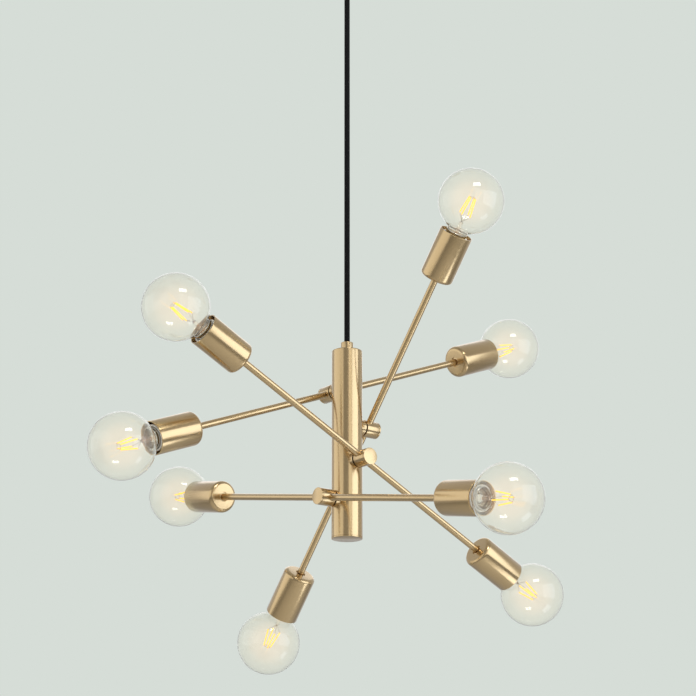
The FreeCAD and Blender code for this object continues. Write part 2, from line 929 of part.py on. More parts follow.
hub_height = size("lead_hub_height")
cage_parts = [cylinder("lead_hub", radius_of("lead_hub_diameter"), hub_height, z=stem_top)]
hub_middle = Vector(0, 0, float(stem_top + hub_height / 2))
for number in range(FILAMENTS):
    foot = around(size("filament_foot_radius"), number, foot_height_in_globe)
    tip = around(size("filament_tip_radius"), number, tip_height_in_globe)
    next_tip = around(size("filament_tip_radius"), number + 1, tip_height_in_globe)
    cage_parts.append(strut("stick_%d" % number, foot, tip, filament_radius, 6))
    cage_parts.append(strut("foot_lead_%d" % number, hub_middle, foot, lead_radius, 4))
    cage_parts.append(strut("tip_lead_%d" % number, tip, next_tip, lead_radius, 4))
filament_cage = joined("filament_cage", cage_parts)

# ---------------------------------------------------------------- the four arms


def arm_frame(arm):
    return knuckle_frame(arm, float(size("arm_%d_tilt" % arm)))


def end_frame(arm, side, out):
    """A frame on the arm's centre line, with its Z pointing out towards one end."""
    middle = Placement(Vector(float(rod_offset), side * float(out), 0), Rotation(Vector(1, 0, 0), -90 * side))
    return arm_frame(arm).multiply(middle)


for arm in ARMS:
    reach = size("arm_%d_reach" % arm)
    cup_back = reach - cup_length
    rod_length = cup_back + size("rod_overrun") - size("rod_root")
    rod_skin = cylinder("arm_%d_rod_skin" % arm, rod_radius, rod_length)
    rod_bore = cylinder("arm_%d_rod_bore" % arm, rod_radius - size("rod_wall"), rod_length)
    rod = cut("arm_%d_rod" % arm, rod_skin, rod_bore)
    on_pivot = [arm_frame(arm).multiply(OUTWARD)]
    at_root = [end_frame(arm, side, size("rod_root")) for side in (1, -1)]
    at_ends = [end_frame(arm, side, cup_back) for side in (1, -1)]
    for piece, master, placements in (
        ("pivot_bolt", pivot_bolt, on_pivot),
        ("knuckle", knuckle, on_pivot),
        ("knuckle_cap", knuckle_cap, on_pivot),
        ("rods", rod, at_root),
        ("lamp_cups", lamp_cup, at_ends),
        ("cup_bushings", bushing, at_ends),
        ("lampholders", lampholder, at_ends),
        ("screw_shells", screw_shell, at_ends),
        ("bulb_caps", lamp_cap, at_ends),
        ("bulb_glass", bulb_glass, at_ends),
        ("bulb_filaments", filament_cage, at_ends),
    ):
        node("arm_%d_%s" % (arm, piece), master, placements)

# ---------------------------------------------------------------- check and write

doc.recompute()
for thing in doc.Objects:
    broken = {"Invalid", "Error"} & set(thing.State)
    if broken:
        raise RuntimeError("%s is %s" % (thing.Label, ", ".join(sorted(broken))))
for group in NODES:
    if group.Shape.isNull() or not group.Shape.isValid():
        raise RuntimeError("%s has no valid shape" % group.Label)

os.makedirs("parts", exist_ok=True)
for group in NODES:
    group.Shape.exportStep("parts/%s.step" % group.Label)

cord_volume = NODES[[group.Label for group in NODES].index("cord")].Shape.Volume
print("cord: %.1f mm long, volume ratio %.6f" % (cord_length, cord_volume / (cord_section * cord_length)))
for arm in ARMS:
    pivot = knuckle_frame(arm).multVec(at(x=rod_offset))
    outward = knuckle_frame(arm).Rotation.multVec(Vector(1, 0, 0))
    print("arm %d: pivot %s" % (arm, tuple(round(value, 3) for value in pivot)))
    print("arm %d: axis %s" % (arm, tuple(round(value, 5) for value in outward)))
print("%d nodes" % len(NODES))
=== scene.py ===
import math

import bmesh
import bpy
from mathutils import Matrix, Vector


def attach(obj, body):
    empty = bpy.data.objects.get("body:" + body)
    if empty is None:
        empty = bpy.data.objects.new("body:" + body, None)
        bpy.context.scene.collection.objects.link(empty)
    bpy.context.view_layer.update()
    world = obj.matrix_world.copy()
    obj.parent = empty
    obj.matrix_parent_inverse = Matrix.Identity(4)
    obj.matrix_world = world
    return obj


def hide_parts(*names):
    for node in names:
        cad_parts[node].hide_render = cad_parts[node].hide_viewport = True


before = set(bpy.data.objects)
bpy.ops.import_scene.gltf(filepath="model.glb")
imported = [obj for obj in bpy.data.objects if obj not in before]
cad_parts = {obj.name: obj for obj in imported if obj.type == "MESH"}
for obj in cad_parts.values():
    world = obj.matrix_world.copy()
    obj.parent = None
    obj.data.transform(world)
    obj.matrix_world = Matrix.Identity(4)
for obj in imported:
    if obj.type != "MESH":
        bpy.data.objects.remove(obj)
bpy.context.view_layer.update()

MM = 0.001

# ---------------------------------------------------------------- camera and studio
# The light is seen from below: the camera stands 2.5 m away, under the fixture's middle,
# and looks up at it, so that the cord runs out of the top of the picture.

camera_tilt = 16.6
film_width = 36
focal_length_pixels = 2068
picture_pixels = 696

camera = bpy.data.objects.new("camera", bpy.data.cameras.new("camera"))
bpy.context.scene.collection.objects.link(camera)
bpy.context.scene.camera = camera
bpy.context.scene.view_settings.view_transform = "Standard"
camera.location = (0.0012, -2.468, -1.2675)
camera.rotation_euler = (math.radians(90 + camera_tilt), 0, 0)
camera.data.sensor_width = film_width
camera.data.lens = film_width * focal_length_pixels / picture_pixels
camera.data.clip_end = 60


def linear(hex_colour):
    """A colour written in sRGB hex, as the linear numbers that a shader takes."""
    parts = [int(hex_colour[i:i + 2], 16) / 255 for i in (1, 3, 5)]
    curve = [c / 12.92 if c <= 0.04045 else ((c + 0.055) / 1.055) ** 2.4 for c in parts]
    return (*curve, 1.0)


def add_node(tree, kind, settings=None, **inputs):
    """One node, with its settings and with each input as a value or a link from a socket."""
    node = tree.nodes.new(kind)
    for name, value in (settings or {}).items():
        setattr(node, name, value)
    for name, value in inputs.items():
        wanted = name.replace("_", " ")
        socket = node.inputs[int(name[1:])] if name[1:].isdigit() else node.inputs[wanted]
        if isinstance(value, bpy.types.NodeSocket):
            tree.links.new(value, socket)
        else:
            socket.default_value = value
    return node


def seen_directly(tree, rays):
    """1 for what the camera and the glass see, 0 for what metal and plain surfaces get."""
    seen = add_node(
        tree,
        "ShaderNodeMath",
        {"operation": "MAXIMUM"},
        i0=rays.outputs["Is Camera Ray"],
        i1=rays.outputs["Is Transmission Ray"],
    )
    return seen.outputs[0]


# What the camera and the glass see is a plain pale backdrop all round. Metal sees the same
# studio, dimmer from the side where the camera stands and from below, as in a room. Plain
# surfaces get an even light from all sides.
backdrop_colour = "#D6DDD7"
room_light = 0.3

world = bpy.data.worlds.new("studio")
bpy.context.scene.world = world
world.use_nodes = True
tree = world.node_tree
tree.nodes.clear()
rays = add_node(tree, "ShaderNodeLightPath")
seen = seen_directly(tree, rays)
direction = add_node(tree, "ShaderNodeTexCoord")
split = add_node(tree, "ShaderNodeSeparateXYZ", Vector=direction.outputs["Generated"])
depth = add_node(
    tree,
    "ShaderNodeMapRange",
    {"interpolation_type": "SMOOTHSTEP"},
    Value=split.outputs["Y"],
    From_Min=-0.9,
    From_Max=0.9,
    To_Min=0.34,
    To_Max=0.55,
)
height = add_node(
    tree,
    "ShaderNodeMapRange",
    {"interpolation_type": "SMOOTHSTEP"},
    Value=split.outputs["Z"],
    From_Min=-0.7,
    From_Max=0.1,
    To_Min=0.45,
    To_Max=1.0,
)
dimmed = add_node(
    tree,
    "ShaderNodeMath",
    {"operation": "MULTIPLY"},
    i0=depth.outputs["Result"],
    i1=height.outputs["Result"],
)
indirect = add_node(
    tree,
    "ShaderNodeMix",
    {"data_type": "FLOAT"},
    i0=rays.outputs["Is Glossy Ray"],
    i2=room_light,
    i3=dimmed.outputs[0],
)
strength = add_node(
    tree, "ShaderNodeMix", {"data_type": "FLOAT"}, i0=seen, i2=indirect.outputs[0], i3=1.0
)
backdrop = add_node(
    tree,
    "ShaderNodeMix",
    {"data_type": "RGBA"},
    i0=seen,
    i6=linear("#FFFFFF"),
    i7=linear(backdrop_colour),
)
sky = add_node(
    tree, "ShaderNodeBackground", Color=backdrop.outputs[2], Strength=strength.outputs[0]
)
add_node(tree, "ShaderNodeOutputWorld", Surface=sky.outputs[0])

fixture_middle = Vector((0, 0, -0.65))


def soft_box(
    name,
    azimuth,
    elevation,
    distance,
    width,
    tall,
    brightness,
    colour="#FFFFFF",
    in_glass=False,
    in_metal=True,
):
    """A flat lamp round the fixture's middle. Azimuth 0 is the camera's side, 90 its right."""
    lamp = bpy.data.lights.new(name, "AREA")
    lamp.shape = "RECTANGLE"
    lamp.size = width
    lamp.size_y = tall
    lamp.color = linear(colour)[:3]
    lamp.energy = brightness * math.pi * width * tall
    thing = bpy.data.objects.new(name, lamp)
    bpy.context.scene.collection.objects.link(thing)
    a = math.radians(azimuth)
    e = math.radians(elevation)
    away = Vector((math.sin(a) * math.cos(e), -math.cos(a) * math.cos(e), math.sin(e)))
    thing.location = fixture_middle + away * distance
    thing.rotation_euler = away.to_track_quat("Z", "Y").to_euler()
    thing.visible_camera = False
    thing.visible_transmission = in_glass
    thing.visible_glossy = in_metal


# The two lamps that draw the bright bands on the brass are slightly cool, like daylight, so
# that the bands come out pale. The room lamp lights only plain surfaces, and the window lamp
# is the only one that is also seen through glass.
cool_white = "#E4EEFF"
soft_box("key_lamp", 64, 4, 2.6, 2.4, 2.0, 1.9, cool_white)
soft_box("room_lamp", 45, -5, 2.6, 2.0, 1.6, 1.6, in_metal=False)
soft_box("low_lamp", 84, -45, 2.0, 0.6, 0.8, 2.2, cool_white)
soft_box("window_lamp", 22, 42, 2.6, 0.9, 0.45, 9.0, in_glass=True)
soft_box("front_lamp", 25, 6, 3.0, 1.3, 2.2, 0.72)
soft_box("fill_lamp", -70, 10, 3.0, 5.4, 2.4, 0.6)
soft_box("back_lamp", 178, 30, 3.0, 2.4, 2.0, 0.6)


def material(name):
    """A new material with an empty node tree."""
    made = bpy.data.materials.new(name)
    made.use_nodes = True
    made.node_tree.nodes.clear()
    return made


# The pale floor lies a room's height below the ceiling. The camera and the glass see it as
# plain as the backdrop.
half_floor = 6.0
floor_level = -2.5
floor_corners = [
    (-half_floor, -half_floor, floor_level),
    (half_floor, -half_floor, floor_level),
    (half_floor, half_floor, floor_level),
    (-half_floor, half_floor, floor_level),
]
floor_mesh = bpy.data.meshes.new("floor")
floor_mesh.from_pydata(floor_corners, [], [(0, 1, 2, 3)])
floor = bpy.data.objects.new("floor", floor_mesh)
bpy.context.scene.collection.objects.link(floor)
pale = material("pale_floor_paint")
tree = pale.node_tree
rays = add_node(tree, "ShaderNodeLightPath")
paint = add_node(tree, "ShaderNodeBsdfDiffuse", Color=linear("#E9E8E6"))
plain = add_node(tree, "ShaderNodeEmission", Color=linear(backdrop_colour), Strength=1.0)
mixed = add_node(
    tree,
    "ShaderNodeMixShader",
    i0=seen_directly(tree, rays),
    i1=paint.outputs[0],
    i2=plain.outputs[0],
)
add_node(tree, "ShaderNodeOutputMaterial", Surface=mixed.outputs[0])
floor_mesh.materials.append(pale)

# ---------------------------------------------------------------- cord
# Round 7 mm pendant cord in a black braided textile sleeve. It carries the fixture, so it
# hangs dead straight between the stop in the tube's nipple and the one in the canopy's grip.

cord_line = [(0, 0, -0.553), (0, 0, -0.42), (0, 0, -0.21), (0, 0, -0.005)]
cord_diameter = 7.0 * MM

cord_curve = bpy.data.curves.new("pendant_cord", "CURVE")
cord_curve.dimensions = "3D"
spline = cord_curve.splines.new("NURBS")
spline.points.add(len(cord_line) - 1)
for point, place in zip(spline.points, cord_line):
    point.co = (*place, 1)
spline.order_u = 3
spline.use_endpoint_u = True
spline.resolution_u = 48
cord_curve.bevel_depth = cord_diameter / 2
cord_curve.bevel_resolution = 8
cord_curve.use_fill_caps = True
cord = bpy.data.objects.new("pendant_cord", cord_curve)
bpy.context.scene.collection.objects.link(cord)

# Braided polyester: matt black with a fine herringbone of raised strands. The real strands
# are about 0.6 mm wide; here they are 1.4 mm, so that they show at this distance.
strand_pitch = 2.8 * MM
strands_each_way = 8

braid = material("braided_polyester_black")
tree = braid.node_tree
place = add_node(tree, "ShaderNodeTexCoord")
split = add_node(tree, "ShaderNodeSeparateXYZ", Vector=place.outputs["Object"])
turn = add_node(
    tree, "ShaderNodeMath", {"operation": "ARCTAN2"}, i0=split.outputs["Y"], i1=split.outputs["X"]
)
rise = add_node(
    tree,
    "ShaderNodeMath",
    {"operation": "MULTIPLY"},
    i0=split.outputs["Z"],
    i1=2 * math.pi / strand_pitch,
)
waves = []
for lead in (strands_each_way, -strands_each_way):
    wrapped = add_node(
        tree,
        "ShaderNodeMath",
        {"operation": "MULTIPLY_ADD"},
        i0=turn.outputs[0],
        i1=lead,
        i2=rise.outputs[0],
    )
    waves.append(add_node(tree, "ShaderNodeMath", {"operation": "SINE"}, i0=wrapped.outputs[0]))
woven = add_node(
    tree,
    "ShaderNodeMath",
    {"operation": "MAXIMUM"},
    i0=waves[0].outputs[0],
    i1=waves[1].outputs[0],
)
level = add_node(
    tree,
    "ShaderNodeMapRange",
    Value=woven.outputs[0],
    From_Min=-0.2,
    From_Max=1.0,
    To_Min=0.0,
    To_Max=1.0,
)
shade = add_node(
    tree,
    "ShaderNodeMix",
    {"data_type": "RGBA"},
    i0=level.outputs["Result"],
    i6=linear("#020202"),
    i7=linear("#0B0B0B"),
)
bump = add_node(
    tree, "ShaderNodeBump", Strength=0.6, Distance=0.35 * MM, Height=woven.outputs[0]
)
cloth = add_node(
    tree,
    "ShaderNodeBsdfPrincipled",
    Base_Color=shade.outputs[2],
    Roughness=0.85,
    Normal=bump.outputs[0],
    Specular_IOR_Level=0.25,
    Sheen_Weight=0.04,
    Sheen_Roughness=0.5,
)
add_node(tree, "ShaderNodeOutputMaterial", Surface=cloth.outputs[0])
cord_curve.materials.append(braid)
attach(cord, "fixture")
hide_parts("cord")

# ---------------------------------------------------------------- vertical tube
# A drawn brass tube, 38 mm outside, satin brushed and lacquered. Hollow bolts hold the four
# knuckles to it, and its ends are closed by turned caps.

tube_radius = 19.0
tube_bore = 17.5
tube_top = -536.0
tube_length = 237.5
tube_bottom = tube_top - tube_length
cap_height = 3.0
foot_height = 1.6
seam = 0.4
crease = math.radians(32)


def lathe(name, outlines, segments=96, thread=None):
    """A turned piece about +Z, from closed outlines of (radius, height) in millimetres. Its UV
    map runs along the outline in U and round the piece in V, both in millimetres. A thread is
    (lowest, highest, pitch, depth): the wall between those heights winds up as a round thread,
    which fades in and out over 1.5 mm."""
    mesh = bpy.data.meshes.new(name)
    shaped = bmesh.new()
    layer = shaped.loops.layers.uv.new("UVMap")
    for outline in outlines:
        area = sum(
            a[0] * b[1] - b[0] * a[1] for a, b in zip(outline, outline[1:] + outline[:1])
        )
        points = outline if area > 0 else outline[::-1]
        rings = []
        for across, up in points:
            ring = []
            if across < 1e-6:
                ring = [shaped.verts.new((0, 0, up * MM))] * segments
            else:
                for k in range(segments):
                    angle = 2 * math.pi * k / segments
                    radius = across
                    if thread and thread[0] <= up <= thread[1]:
                        fade = min(1, (up - thread[0]) / 1.5, (thread[1] - up) / 1.5)
                        wave = math.cos(2 * math.pi * up / thread[2] - angle)
                        radius += fade * thread[3] * (wave - 1) / 2
                    spot = (radius * math.cos(angle) * MM, radius * math.sin(angle) * MM, up * MM)
                    ring.append(shaped.verts.new(spot))
            rings.append(ring)
        run = [0.0]
        for a, b in zip(points, points[1:] + points[:1]):
            run.append(run[-1] + math.hypot(b[0] - a[0], b[1] - a[1]))
        for number in range(len(points)):
            low = rings[number]
            high = rings[(number + 1) % len(points)]
            width = max(points[number][0], points[(number + 1) % len(points)][0])
            for k in range(segments):
                after = (k + 1) % segments
                loop = [
                    (low[k], run[number], k),
                    (low[after], run[number], k + 1),
                    (high[after], run[number + 1], k + 1),
                    (high[k], run[number + 1], k),
                ]
                kept = []
                for item in loop:
                    if all(item[0] is not other[0] for other in kept):
                        kept.append(item)
                if len(kept) < 3:
                    continue
                face = shaped.faces.new([item[0] for item in kept])
                face.smooth = True
                for corner, item in zip(face.loops, kept):
                    around = width * 2 * math.pi * item[2] / segments
                    corner[layer].uv = (item[1], around)
    shaped.to_mesh(mesh)
    shaped.free()
    mesh.set_sharp_from_angle(angle=crease)
    return mesh


def piece(name, mesh, finish, body, slot, *nodes):
    """A finished piece of the scene: it rides on its body and stands for its CAD nodes."""
    thing = bpy.data.objects.new(name, mesh)
    bpy.context.scene.collection.objects.link(thing)
    mesh.materials.clear()
    mesh.materials.append(finish)
    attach(thing, body)
    if nodes:
        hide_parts(*nodes)


# Satin brushed brass under a thin clear lacquer. The belt runs round the piece, so lamps
# are drawn out along it into soft bands, with fine lines across them. Real grinding lines
# are about 0.05 mm apart; here they are 0.5 mm or more, so that they show.
brass_dark = "#CDAF7B"
brass_light = "#D7BB8A"
lines_per_mm = 2.0
waves_round_per_mm = 0.06

brass = material("satin_brushed_brass")
tree = brass.node_tree
lines = add_node(tree, "ShaderNodeUVMap", {"uv_map": "UVMap"})
stretched = add_node(
    tree,
    "ShaderNodeMapping",
    Vector=lines.outputs[0],
    Scale=(lines_per_mm, waves_round_per_mm, 1.0),
)
grain = add_node(
    tree,
    "ShaderNodeTexNoise",
    {"noise_dimensions": "2D"},
    Vector=stretched.outputs[0],
    Scale=1.0,
    Detail=3.0,
    Roughness=0.6,
)
tone = add_node(
    tree,
    "ShaderNodeMix",
    {"data_type": "RGBA"},
    i0=grain.outputs[0],
    i6=linear(brass_dark),
    i7=linear(brass_light),
)
polish = add_node(
    tree,
    "ShaderNodeMapRange",
    Value=grain.outputs[0],
    From_Min=0.3,
    From_Max=0.7,
    To_Min=0.2,
    To_Max=0.26,
)
along = add_node(tree, "ShaderNodeTangent", {"direction_type": "UV_MAP", "uv_map": "UVMap"})
scratch = add_node(
    tree, "ShaderNodeBump", Strength=0.04, Distance=0.05 * MM, Height=grain.outputs[0]
)
metal = add_node(
    tree,
    "ShaderNodeBsdfPrincipled",
    Base_Color=tone.outputs[2],
    Metallic=1.0,
    Roughness=polish.outputs["Result"],
    Anisotropic=0.6,
    Tangent=along.outputs[0],
    Normal=scratch.outputs[0],
    Coat_Weight=1.0,
    Coat_Roughness=0.22,
)
add_node(tree, "ShaderNodeOutputMaterial", Surface=metal.outputs[0])

shell_bottom = tube_bottom + foot_height + seam
shell_top = tube_top - cap_height
tube_outline = [
    (tube_bore, shell_bottom),
    (tube_radius, shell_bottom),
    (tube_radius, shell_top),
    (tube_bore, shell_top),
]
piece("tube", lathe("tube", [tube_outline]), brass, "fixture", "satin_brass", "stem_tube")

# ---------------------------------------------------------------- ends of the tube
# Turned brass plugs. The upper one has a rounded edge and carries the cord's nipple, and
# the lower one is a flat disc behind a fine seam.

plug_radius = 17.4
plug_depth = 6.0
seam_radius = 18.25
nipple_hole = 5.0
top_edge = 1.2
foot_edge = 0.5


def rounded(outline, radius, corner, steps=5):
    """The outline of (radius, height) points with one corner made round."""
    before, here, after = (Vector(outline[(corner + k) % len(outline)]) for k in (-1, 0, 1))
    into = (before - here).normalized()
    out = (after - here).normalized()
    half = into.angle(out) / 2
    centre = here + (into + out).normalized() * (radius / math.sin(half))
    start = here + into * (radius / math.tan(half))
    end = here + out * (radius / math.tan(half))
    first = start - centre
    sweep = first.angle_signed(end - centre)
    arc = []
    for step in range(steps + 1):
        turned = Matrix.Rotation(-sweep * step / steps, 2) @ first
        arc.append(tuple(centre + turned))
    return list(outline[:corner]) + arc + list(outline[corner + 1:])


top_cap = [
    (nipple_hole, shell_top - plug_depth),
    (plug_radius, shell_top - plug_depth),
    (plug_radius, shell_top),
    (tube_radius, shell_top),
    (tube_radius, tube_top),
    (nipple_hole, tube_top),
]
top_cap = rounded(top_cap, top_edge, 4)
piece("top_cap", lathe("top_cap", [top_cap]), brass, "fixture", "satin_brass", "tube_top_cap")

foot_cap = [
    (0, tube_bottom),
    (tube_radius, tube_bottom),
    (tube_radius, tube_bottom + foot_height),
    (seam_radius, tube_bottom + foot_height),
    (seam_radius, shell_bottom),
    (plug_radius, shell_bottom),
    (plug_radius, shell_bottom + plug_depth),
    (0, shell_bottom + plug_depth),
]
foot_cap = rounded(foot_cap, foot_edge, 1, 3)
piece("foot_cap", lathe("foot_cap", [foot_cap]), brass, "fixture", "satin_brass", "tube_foot_cap")

# ---------------------------------------------------------------- cord nipple
# A small turned brass collar on the tube's top cap, with a shank that goes through the cap.
# A nylon stop inside it holds the cord.

cord_bore = 3.65
nipple_radius = 7.7
nipple_height = 11.0
nipple_shank = 14.0
nipple_edge = 1.0
nipple = [
    (cord_bore, tube_top - nipple_shank),
    (nipple_hole, tube_top - nipple_shank),
    (nipple_hole, tube_top),
    (nipple_radius, tube_top),
    (nipple_radius, tube_top + nipple_height),
    (cord_bore, tube_top + nipple_height),
]
nipple = rounded(nipple, nipple_edge, 4)
piece("nipple", lathe("nipple", [nipple]), brass, "fixture", "satin_brass", "tube_nipple")

# ---------------------------------------------------------------- ceiling canopy
# A spun brass cup that hides the bracket and the mains joints, with a turned cord grip
# under it. Its rim lies against the ceiling, at height 0.

canopy_radius = 50.0
canopy_depth = 25.0
canopy_wall = 1.2
canopy_hole = 5.1
canopy_round = 7.0
canopy_outline = [
    (canopy_hole, -canopy_depth),
    (canopy_radius, -canopy_depth),
    (canopy_radius, 0.0),
    (canopy_radius - canopy_wall, 0.0),
    (canopy_radius - canopy_wall, canopy_wall - canopy_depth),
    (canopy_hole, canopy_wall - canopy_depth),
]
canopy_outline = rounded(canopy_outline, canopy_round - canopy_wall, 4, 8)
canopy_outline = rounded(canopy_outline, canopy_round, 1, 10)
piece(
    "canopy",
    lathe("canopy", [canopy_outline], 128),
    brass,
    "fixture",
    "satin_brass",
    "ceiling_canopy",
)

grip_radius = 7.0
grip_length = 20.0
grip_shank_radius = 5.0
grip_top = -11.0
grip_edge = 1.5
grip = [
    (cord_bore, -canopy_depth - grip_length),
    (grip_radius, -canopy_depth - grip_length),
    (grip_radius, -canopy_depth),
    (grip_shank_radius, -canopy_depth),
    (grip_shank_radius, grip_top),
    (cord_bore, grip_top),
]
grip = rounded(grip, grip_edge, 1)
piece("grip", lathe("grip", [grip]), brass, "fixture", "satin_brass", "canopy_grip")

# ---------------------------------------------------------------- saddle collars
# Short brass sleeves, cut to the tube's round at the back, that the knuckles turn against.
# Their shape is the CAD one, merged and shaded smooth.


def smoothed_copy(node, name):
    """A merged copy of a CAD node's mesh, with soft shading on its round faces."""
    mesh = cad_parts[node].data.copy()
    mesh.name = name
    merged = bmesh.new()
    merged.from_mesh(mesh)
    bmesh.ops.remove_doubles(merged, verts=merged.verts, dist=1e-6)
    for face in merged.faces:
        face.smooth = True
    merged.to_mesh(mesh)
    merged.free()
    mesh.set_sharp_from_angle(angle=crease)
    return mesh


def clouded(tree, size, dark, light, detail=3.0):
    """Clouds of two near colours, this many millimetres across: their pattern and colour."""
    place = add_node(tree, "ShaderNodeTexCoord")
    cloud = add_node(
        tree,
        "ShaderNodeTexNoise",
        Vector=place.outputs["Object"],
        Scale=1 / (size * MM),
        Detail=detail,
    )
    tone = add_node(
        tree,
        "ShaderNodeMix",
        {"data_type": "RGBA"},
        i0=cloud.outputs[0],
        i6=linear(dark),
        i7=linear(light),
    )
    return cloud.outputs[0], tone.outputs[2]


# Turned brass under the same lacquer, with no set direction of brushing: it looks satin and
# even, with a faint unevenness in its gloss.
turned_brass = material("turned_brass")
tree = turned_brass.node_tree
cloud, tone = clouded(tree, 1.2, brass_dark, brass_light)
polish = add_node(
    tree,
    "ShaderNodeMapRange",
    Value=cloud,
    From_Min=0.3,
    From_Max=0.7,
    To_Min=0.2,
    To_Max=0.27,
)
metal = add_node(
    tree,
    "ShaderNodeBsdfPrincipled",
    Base_Color=tone,
    Metallic=1.0,
    Roughness=polish.outputs["Result"],
    Coat_Weight=1.0,
    Coat_Roughness=0.22,
)
add_node(tree, "ShaderNodeOutputMaterial", Surface=metal.outputs[0])
piece(
    "collars",
    smoothed_copy("saddle_collars", "collars"),
    turned_brass,
    "fixture",
    "satin_brass",
    "saddle_collars",
)

# ---------------------------------------------------------------- hidden hardware
# Zinc plated steel nuts, washers, bolts and the ceiling bracket, and black nylon pieces.
# They are seen only through gaps and with the canopy down, and keep their CAD shapes.

# Zinc plating: a dull pale grey with the faint flakes that the zinc grows in.
zinc = material("zinc_plated_steel")
tree = zinc.node_tree
place = add_node(tree, "ShaderNodeTexCoord")
flakes = add_node(
    tree,
    "ShaderNodeTexVoronoi",
    Vector=place.outputs["Object"],
    Scale=1 / (3.0 * MM),
)
tone = add_node(
    tree,
    "ShaderNodeMix",
    {"data_type": "RGBA"},
    i0=flakes.outputs["Distance"],
    i6=linear("#A9ABAC"),
    i7=linear("#C4C5C2"),
)
metal = add_node(
    tree,
    "ShaderNodeBsdfPrincipled",
    Base_Color=tone.outputs[2],
    Metallic=1.0,
    Roughness=0.38,
)
add_node(tree, "ShaderNodeOutputMaterial", Surface=metal.outputs[0])

# Moulded nylon: black and fairly matt, with the fine grit of a spark-eroded mould.
nylon = material("black_nylon_moulded")
tree = nylon.node_tree
place = add_node(tree, "ShaderNodeTexCoord")
grit = add_node(
    tree,
    "ShaderNodeTexNoise",
    Vector=place.outputs["Object"],
    Scale=1 / (0.8 * MM),
    Detail=2.0,
)
skin = add_node(
    tree, "ShaderNodeBump", Strength=0.2, Distance=0.05 * MM, Height=grit.outputs[0]
)
plastic = add_node(
    tree,
    "ShaderNodeBsdfPrincipled",
    Base_Color=linear("#16161A"),
    Roughness=0.55,
    Normal=skin.outputs[0],
)
add_node(tree, "ShaderNodeOutputMaterial", Surface=plastic.outputs[0])


def finished(node, finish):
    """A CAD node that keeps its shape gets its finish."""
    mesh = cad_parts[node].data
    mesh.materials.clear()
    mesh.materials.append(finish)


for node in ("mounting_bracket", "grip_nuts", "pivot_pads", "spring_washers"):
    finished(node, zinc)
for node in ("cord_stops", "wire_connectors", "friction_washers"):
    finished(node, nylon)
finished("canopy_screws", turned_brass)

# ---------------------------------------------------------------- the arms
# Four straight arms at right angles to one another down the tube. Each turns on its
# knuckle, and both its ends carry the same cup, lampholder and bulb.

# Azimuth and tilt are in degrees. Height is the knuckle's, and reach goes from the middle
# of the knuckle to the rim of a cup, in millimetres.
ARMS = {
    1: {"azimuth": 128.5, "height": -583.5, "tilt": -20.6, "reach": 282.5},
    2: {"azimuth": 38.5, "height": -631.0, "tilt": -50.4, "reach": 271.5},
    3: {"azimuth": -51.5, "height": -678.5, "tilt": -26.4, "reach": 266.0},
    4: {"azimuth": -141.5, "height": -726.0, "tilt": -10.0, "reach": 282.5},
}
rod_line = 31.0
cup_length = 62.0
for arm in ARMS.values():
    leaning = Matrix.Rotation(math.radians(arm["tilt"]), 4, "X")
    heading = Matrix.Rotation(math.radians(arm["azimuth"]), 4, "Z")
    arm["place"] = Matrix.Translation((0, 0, arm["height"] * MM)) @ heading @ leaning
    arm["outward"] = arm["place"] @ Matrix.Rotation(math.radians(90), 4, "Y")
    arm["cup_back"] = arm["reach"] - cup_length

# ---------------------------------------------------------------- knuckles
# A turned brass barrel that the arm's rods are screwed into from both sides, closed by a
# disc. It is screwed to a hollow bolt that turns with it in the tube, against its collar.

knuckle_radius = 10.4
knuckle_back = 24.9
knuckle_front = 43.7
disc_front = 45.7
disc_seam = 0.15
axle_hole = 5.1
barrel_edge = 0.4
disc_edge = 0.35

barrel = [
    (axle_hole, knuckle_back),
    (knuckle_radius, knuckle_back),
    (knuckle_radius, knuckle_front - disc_seam),
    (axle_hole, knuckle_front - disc_seam),
]
barrel = rounded(rounded(barrel, barrel_edge, 2, 3), barrel_edge, 1, 3)
disc = [
    (0, knuckle_front),
    (knuckle_radius, knuckle_front),
    (knuckle_radius, disc_front),
    (0, disc_front),
]
disc = rounded(rounded(disc, disc_edge, 2, 3), disc_edge, 1, 3)
for number, arm in ARMS.items():
    for part, outline, node in (("barrel", barrel, "knuckle"), ("disc", disc, "knuckle_cap")):
        name = "arm_%d_%s" % (number, part)
        mesh = lathe(name, [outline], 72)
        mesh.transform(arm["outward"])
        replaced = "arm_%d_%s" % (number, node)
        piece(name, mesh, brass, "arm_%d" % number, "satin_brass", replaced)
    finished("arm_%d_pivot_bolt" % number, zinc)

# ---------------------------------------------------------------- rods
# Thin drawn brass tube, 8.5 mm outside, screwed into the knuckle and into the bushing of
# the cup. The two rods of an arm lie in one line.

rod_radius = 4.25
rod_bore = 3.05
rod_root = 5.3
rod_in_cup = 7.0
for number, arm in ARMS.items():
    length = arm["cup_back"] + rod_in_cup - rod_root
    outline = [(rod_bore, 0), (rod_radius, 0), (rod_radius, length), (rod_bore, length)]
    joined = bmesh.new()
    for side in (1, -1):
        root = Matrix.Translation((rod_line * MM, side * rod_root * MM, 0))
        outwards = root @ Matrix.Rotation(-side * math.pi / 2, 4, "X")
        rod = lathe("rod", [outline], 48)
        rod.transform(arm["place"] @ outwards)
        joined.from_mesh(rod)
    name = "arm_%d_rod_pair" % number
    rods = bpy.data.meshes.new(name)
    joined.to_mesh(rods)
    joined.free()
    rods.set_sharp_from_angle(angle=crease)
    piece(name, rods, brass, "arm_%d" % number, "satin_brass", "arm_%d_rods" % number)

# ---------------------------------------------------------------- lamp cups
# Spun brass cups with a rounded back and a thin open rim. The rod comes in through a hole
# in the middle of the back.


def group_input(tree, name, kind, value=None):
    """A named input of a node tree. It gives the identifier that a modifier is set by."""
    socket = tree.interface.new_socket(name=name, in_out="INPUT", socket_type=kind)
    if value is not None:
        socket.default_value = value
    return socket.identifier


